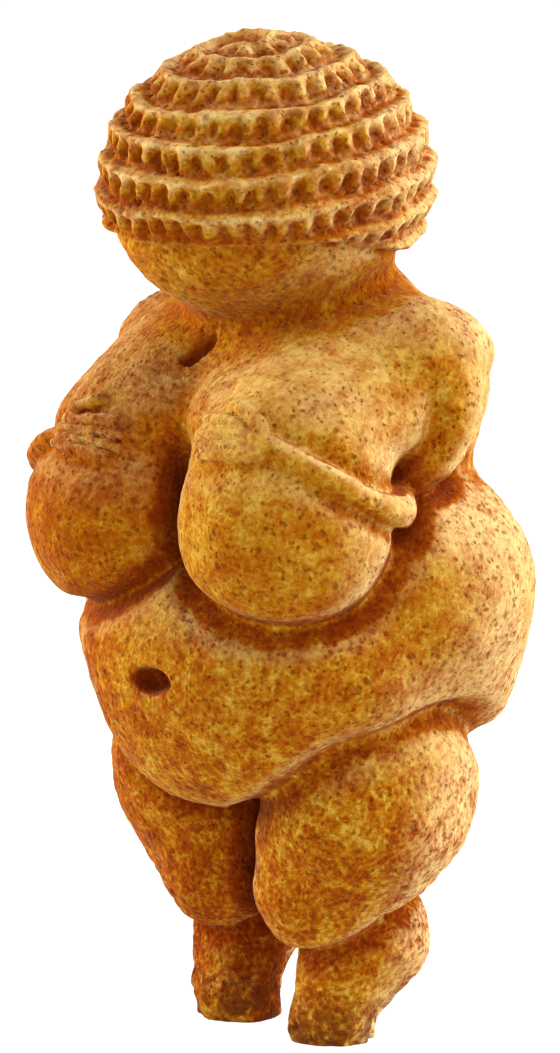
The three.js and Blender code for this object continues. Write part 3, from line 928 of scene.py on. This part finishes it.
# painted shade: more ochre, so darker, on her right side away from the light
RIGHT_PAINTED_SHADE = 0.07
FACE_OCHRE_AND_SHADE = 0.25  # share of the ochre and painted shade in folds that the face and cap get
CONTRAST = 0.74, 1.1  # of the mottle, high up and low down

# How far the ochre is worn off: at most on bulges, and from least to most on lips and on rubbed stone,
# where painted highlight is mixed in
BULGE_WEAR = 0.22
LIP_WEAR = 0.35, 0.75
BARE_AND_LIT_WEAR = 0.45, 0.8

# Where changes over the figure start and end: heights, and the last across, in millimetres
CONTRAST_CHANGE = 62.0, 22.0
FACE_END = 74.0, 60.0
# heights over which the painted shade low down comes in
SHADED_LOW_PART = 50.0, 12.0
STUB_PART = 7.0, 0.5
# places across over which the painted shade on her right comes in
SHADED_RIGHT_PART = 6.0, -16.0

# Scale for places in millimetres, detail, roughness and distortion of each pattern
CLOUDS = 0.075, 3, 0.55, 0.4
MOTTLE = 0.42, 4.5, 0.64, 0.2
SAND = 1.7, 2.5, 0.6, 0.3

# Cells per millimetre, least and greatest radius as a share of a cell, and shift of the specks
SMALL_SPECKS = 1.5, 0.04, 0.36, 3.0
LARGE_SPECKS = 0.8, 0.0, 0.28, 11.0
SPECK_PUSH = {"Scale": 2.2, "Detail": 1.0}  # the waves that make specks ragged
SPECK_PUSH_LENGTH = 0.5


class Nodes:
    """A short way to write a node tree, where an input is a value or another node's output."""

    def __init__(self, tree):
        self.tree = tree

    def add(self, kind, inputs=(), **settings):
        node = self.tree.nodes.new(kind)
        for name, value in settings.items():
            setattr(node, name, value)
        for name, value in dict(inputs).items():
            if isinstance(value, bpy.types.NodeSocket):
                self.tree.links.new(value, node.inputs[name])
            else:
                node.inputs[name].default_value = value
        return node

    def attribute(self, name):
        return self.add("ShaderNodeAttribute", attribute_name=name).outputs["Fac"]

    def noise(self, place, scale, detail, roughness, distortion):
        shape = {"Detail": detail, "Roughness": roughness, "Distortion": distortion}
        inputs = {"Vector": place, "Scale": scale, **shape}
        return self.add("ShaderNodeTexNoise", inputs).outputs["Fac"]

    def vector(self, operation, a, b):
        inputs = {0: a, "Scale" if operation == "SCALE" else 1: b}
        return self.add("ShaderNodeVectorMath", inputs, operation=operation).outputs[0]

    def range(self, value, low, high, to_low=0.0, to_high=1.0):
        """Runs smoothly from one value to another while the input runs from low to high."""
        ends = {"From Min": low, "From Max": high, "To Min": to_low, "To Max": to_high}
        inputs = {"Value": value, **ends}
        node = self.add("ShaderNodeMapRange", inputs, interpolation_type="SMOOTHSTEP")
        return node.outputs["Result"]

    def math(self, operation, a, b):
        return self.add("ShaderNodeMath", {0: a, 1: b}, operation=operation).outputs[0]

    def plus(self, first, *others):
        for other in others:
            first = self.math("ADD", first, other)
        return first

    def times(self, a, b):
        return self.math("MULTIPLY", a, b)

    def most(self, a, b):
        return self.math("MAXIMUM", a, b)

    def ramp(self, value, stops):
        node = self.add("ShaderNodeValToRGB", {"Fac": value})
        points = node.color_ramp.elements
        while len(points) < len(stops):
            points.new(0.5)
        for point, (position, tint) in zip(points, stops):
            point.position = position
            point.color = tint
        return node.outputs["Color"]

    def mix(self, share, a, b):
        inputs = {0: share, 6: a, 7: b}
        node = self.add("ShaderNodeMix", inputs, data_type="RGBA", clamp_factor=True)
        return node.outputs[2]


class Stone(Nodes):
    """The stone's node tree."""

    def __init__(self, tree):
        super().__init__(tree)
        place = self.add("ShaderNodeTexCoord").outputs["Object"]
        self.place = self.vector("SCALE", place, 1000.0)  # in millimetres
        self.x, _, self.z = self.add("ShaderNodeSeparateXYZ", {0: self.place}).outputs
        self.clouds = self.noise(self.place, *CLOUDS)
        self.mottle = self.noise(self.place, *MOTTLE)
        self.sand = self.noise(self.place, *SAND)
        wave = self.add("ShaderNodeTexNoise", {"Vector": self.place, **SPECK_PUSH})
        push = self.vector("SUBTRACT", wave.outputs["Color"], (0.5, 0.5, 0.5))
        self.push = self.vector("SCALE", push, SPECK_PUSH_LENGTH)
        self.plain_valley = self.attribute("valley")
        uneven = self.times(self.math("SUBTRACT", self.mottle, 0.5), 0.6)
        self.valley = self.plus(self.plain_valley, uneven)

    def ochre_and_shade_level(self):
        """The level of ochre: mottled, and deeper in folds, partly as painted shade, with painted shade
        low down and on her right.
        """
        level = self.plus(self.times(self.mottle, 0.5), self.times(self.sand, 0.5))
        contrast = self.range(self.z, *CONTRAST_CHANGE, *CONTRAST)
        level = self.times(self.math("SUBTRACT", level, 0.5), contrast)
        clouds = self.range(self.clouds, 0.3, 0.7, CLOUD_OCHRE, -CLOUD_OCHRE)
        level = self.plus(level, 0.5, clouds)
        # sheltered places and folds: partly ochre, partly painted shade where shade falls
        sheltered_ochre_and_shade = self.range(self.attribute("shelter"), 0.05, 0.9, 0, SHELTER_OCHRE_AND_SHADE)
        folded_ochre_and_shade = self.range(self.valley, 0.05, 0.8, 0, FOLD_OCHRE_AND_SHADE)
        below_face = self.range(self.z, *FACE_END, FACE_OCHRE_AND_SHADE, 1.0)
        return self.plus(
            level,
            self.times(self.plus(sheltered_ochre_and_shade, folded_ochre_and_shade), below_face),
            # creases: partly ochre, partly painted shade
            self.range(self.attribute("crease"), 0.25, 1.0, 0, CREASE_OCHRE_AND_SHADE),
            # painted shade: darker towards the bottom
            self.range(self.z, *SHADED_LOW_PART, 0, LOW_PAINTED_SHADE),
            # painted shade: darker on her right side
            self.range(self.x, *SHADED_RIGHT_PART, 0, RIGHT_PAINTED_SHADE),
            self.range(self.attribute("knot_pit"), 0.1, 0.8, 0, KNOT_PIT_OCHRE),
        )

    def wear_and_highlight(self, level):
        """How far the ochre is worn off, on high places first, with painted highlight on the rims and
        tops.
        """
        bulge = self.range(self.attribute("bulge"), 0.2, 1.0, 0, BULGE_WEAR)
        bulge = self.times(bulge, self.range(self.plain_valley, 0.3, 0.0))
        mottled = self.range(self.mottle, 0.58, 0.42, *LIP_WEAR)
        lip = self.times(self.attribute("lip"), mottled)
        # rubbed stone, partly painted highlight on the rims and tops
        clouded = self.range(self.clouds, 0.65, 0.35, *BARE_AND_LIT_WEAR)
        bare = self.times(self.attribute("bare"), clouded)
        bare = self.times(bare, self.range(self.valley, 0.45, 0.0))
        worn = self.most(self.most(bulge, lip), bare)
        return self.times(worn, self.range(level, 0.74, 0.43))

    def specks(self, scale, least, most, seed):
        """Small ragged pits of uneven size, denser where the clouds are dark."""
        place = self.vector("ADD", self.place, (seed, 2 * seed, 3 * seed))
        place = self.vector("ADD", place, self.push)
        cells = self.add("ShaderNodeTexVoronoi", {"Vector": place, "Scale": scale})
        random = self.add("ShaderNodeSeparateColor", {0: cells.outputs["Color"]}).outputs[0]
        radius = self.range(random, 0.0, 1.0, least, most)
        radius = self.times(radius, self.range(self.clouds, 0.3, 0.7, 1.15, 0.8))
        inside = self.math("SUBTRACT", radius, cells.outputs["Distance"])
        return self.range(inside, -0.12, 0.18)

    def darkness(self):
        """How far a point is in a speck or a pit."""
        faded = self.range(self.sand, 0.4, 0.55, 0.35, 1.0)
        small = self.times(self.specks(*SMALL_SPECKS), faded)
        pitted = self.range(self.attribute("pitted"), 0.2, 0.7, 0, 0.8)
        return self.most(self.most(small, self.specks(*LARGE_SPECKS)), pitted)

    def build(self):
        level, dark = self.ochre_and_shade_level(), self.darkness()
        tint = self.mix(self.wear_and_highlight(level), self.ramp(level, OCHRE_TINTS), WORN_AND_LIT_CREAM)
        tint = self.mix(self.times(dark, SPECK_SHARE), tint, SPECK_BROWN)
        stub = self.range(self.z, *STUB_PART, 0, STUB_SHARE)
        stub = self.times(stub, self.range(self.mottle, 0.35, 0.55))
        height = self.plus(self.times(dark, -1.0), self.times(self.mottle, MOTTLE_BUMP))
        height = self.plus(height, self.times(self.sand, SAND_BUMP))
        bump = self.add("ShaderNodeBump", {"Height": height, **BUMP})
        inputs = {
            **FINISH,
            "Base Color": self.mix(stub, tint, STUB_BROWN),
            "Roughness": self.range(dark, 0, 1, ROUGHNESS, SPECK_ROUGHNESS),
            "Normal": bump.outputs["Normal"],
        }
        shader = self.add("ShaderNodeBsdfPrincipled", inputs)
        self.add("ShaderNodeOutputMaterial", {"Surface": shader.outputs[0]})


def stone_material():
    material = bpy.data.materials.new("ochred_limestone")
    material.use_nodes = True
    material.node_tree.nodes.clear()
    Stone(material.node_tree).build()
    return material


# Studio: a round pale floor that curves up into a wall, soft lights and the camera

FLOOR_RADIUS = 1.4
WALL_BEND = 0.6
BEND_STEPS = 12
WALL_HEIGHT = 1.6
ROUND_STEPS = 96
PAPER_GREY = colour(140, 140, 138)
PAPER_GLOW = 0.92  # so that the floor shows white in the weak light
WHITE = 1, 1, 1, 1


def make_floor():
    profile = [(0.0, 0.0)]
    for i in range(BEND_STEPS + 1):
        angle = math.pi / 2 * i / BEND_STEPS
        along = FLOOR_RADIUS + WALL_BEND * math.sin(angle)
        profile.append((along, WALL_BEND * (1 - math.cos(angle))))
    profile.append((FLOOR_RADIUS + WALL_BEND, WALL_HEIGHT))
    work = bmesh.new()
    line = [work.verts.new((x, 0, z)) for x, z in profile]
    edges = [work.edges.new(ends) for ends in zip(line, line[1:])]
    turn = {"cent": (0, 0, 0), "axis": (0, 0, 1), "angle": 2 * math.pi, "steps": ROUND_STEPS}
    bmesh.ops.spin(work, geom=[*line, *edges], use_merge=True, **turn)
    bmesh.ops.remove_doubles(work, verts=work.verts, dist=1e-5)
    bmesh.ops.recalc_face_normals(work, faces=work.faces)
    mesh = bpy.data.meshes.new("floor")
    work.to_mesh(mesh)
    work.free()
    material = bpy.data.materials.new("pale_paper")
    material.use_nodes = True
    paper = material.node_tree.nodes["Principled BSDF"].inputs
    paper["Base Color"].default_value = PAPER_GREY
    paper["Roughness"].default_value = 0.9
    paper["Emission Color"].default_value = WHITE
    paper["Emission Strength"].default_value = PAPER_GLOW
    mesh.materials.append(material)
    floor = shown("floor", mesh)


# The camera's direction from the figure in degrees, its lens and sensor in millimetres, and
# the point that it and the lights look at and its distance from there in metres
CAMERA_AZIMUTH = 42
CAMERA_ELEVATION = 9
LENS = 120
SENSOR = 36
AIM = Vector((0.0, 0.0, 0.056))
DISTANCE = 0.3815


def direction(azimuth, elevation):
    """From the figure outward, at an angle from its front and one over the floor."""
    a, e = math.radians(azimuth), math.radians(elevation)
    return Vector((math.sin(a) * math.cos(e), -math.cos(a) * math.cos(e), math.sin(e)))


def put(thing, azimuth, elevation, distance):
    """Places a camera or light so that it looks at the figure."""
    back = direction(azimuth, elevation)
    thing.location = AIM + back * distance
    thing.rotation_mode = "QUATERNION"
    thing.rotation_quaternion = (-back).to_track_quat("-Z", "Y")
    bpy.context.collection.objects.link(thing)


def make_camera():
    data = bpy.data.cameras.new("camera")
    data.lens = LENS
    data.sensor_width = SENSOR
    data.clip_start, data.clip_end = 0.01, 20
    camera = bpy.data.objects.new("camera", data)
    put(camera, CAMERA_AZIMUTH, CAMERA_ELEVATION, DISTANCE)
    bpy.context.scene.camera = camera


# Name, azimuth from the camera, elevation, distance, size and power in watts of each soft light
LIGHTS = (
    ("right_softbox", 104, 20, 0.45, 0.32, 3.0),
    ("left_softbox", -114, 16, 0.45, 0.3, 3.8),
    ("top_softbox", 50, 60, 0.6, 0.4, 3.0),
)
WORLD_LIGHT = 0.1


def make_lights():
    for name, azimuth, elevation, distance, size, power in LIGHTS:
        data = bpy.data.lights.new(name, "AREA")
        data.shape = "DISK"
        data.size = size
        data.energy = power
        put(bpy.data.objects.new(name, data), CAMERA_AZIMUTH + azimuth, elevation, distance)
    world = bpy.data.worlds.new("studio")
    world.use_nodes = True
    background = world.node_tree.nodes["Background"].inputs
    background["Color"].default_value = WHITE
    background["Strength"].default_value = WORLD_LIGHT
    bpy.context.scene.world = world
    bpy.context.scene.view_settings.view_transform = "Standard"


make_camera()
make_lights()
make_floor()
figurine = carve_figurine()
figurine.data.materials.clear()
figurine.data.materials.append(stone_material())
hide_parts("figurine")
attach(figurine, "root")
